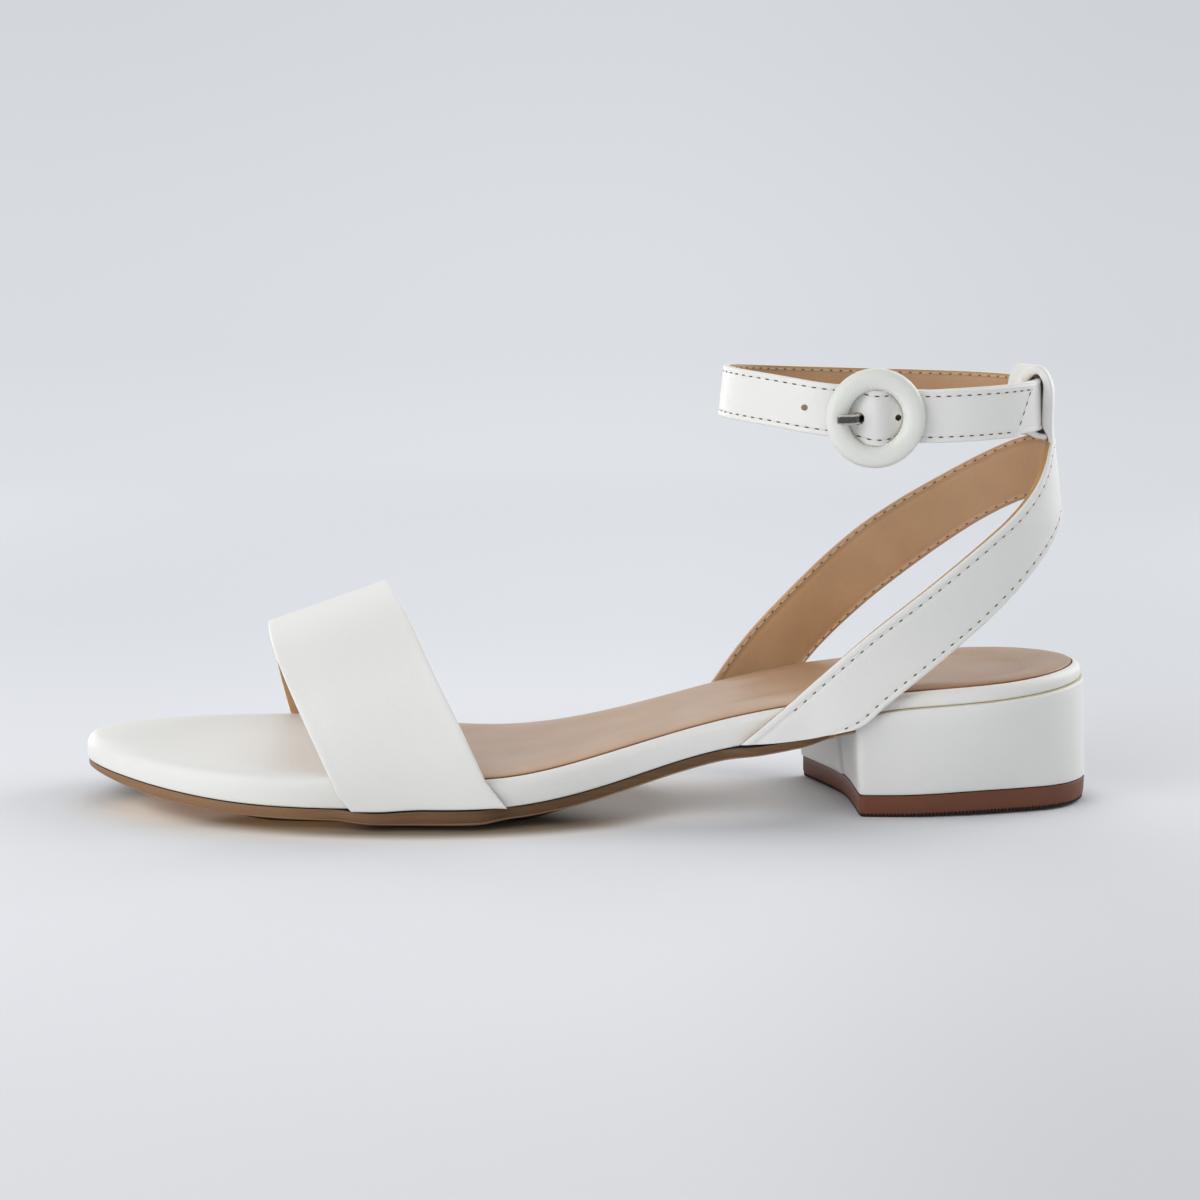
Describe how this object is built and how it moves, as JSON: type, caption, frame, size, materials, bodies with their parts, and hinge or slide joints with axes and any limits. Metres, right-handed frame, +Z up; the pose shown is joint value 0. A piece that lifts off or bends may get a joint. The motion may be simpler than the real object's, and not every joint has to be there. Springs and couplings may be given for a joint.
{
  "type": "block heel dress sandal",
  "caption": "White open-toe dress sandal for the left foot: wide vamp strap, heel sling with back loop, buckled ankle strap, tan sock, brown outsole and low covered block heel.",
  "frame": {"origin": "centre of the overall box in plan, on the floor", "axes": "+X from toe to heel, -Y towards the lateral side with the buckle, +Z up from the floor"},
  "size_m": [0.2498, 0.0806, 0.1095],
  "materials": {
    "white_leather": "smooth, semi-matte",
    "tan_sock": "satin, fine grain",
    "outsole": "matte",
    "heel_lift": "matte",
    "buckle_metal": "polished"
  },
  "bodies": {
    "root": {"outsole": "outsole", "footbed": "white_leather", "insole_sock": "tan_sock", "heel_block": "white_leather", "heel_top_piece": "heel_lift", "vamp_strap": "white_leather", "heel_sling": "white_leather", "back_loop": "white_leather", "ankle_strap": "white_leather", "buckle_ring": "white_leather", "buckle_bar": "buckle_metal", "buckle_prong": "buckle_metal"}
  },
  "joints": []
}
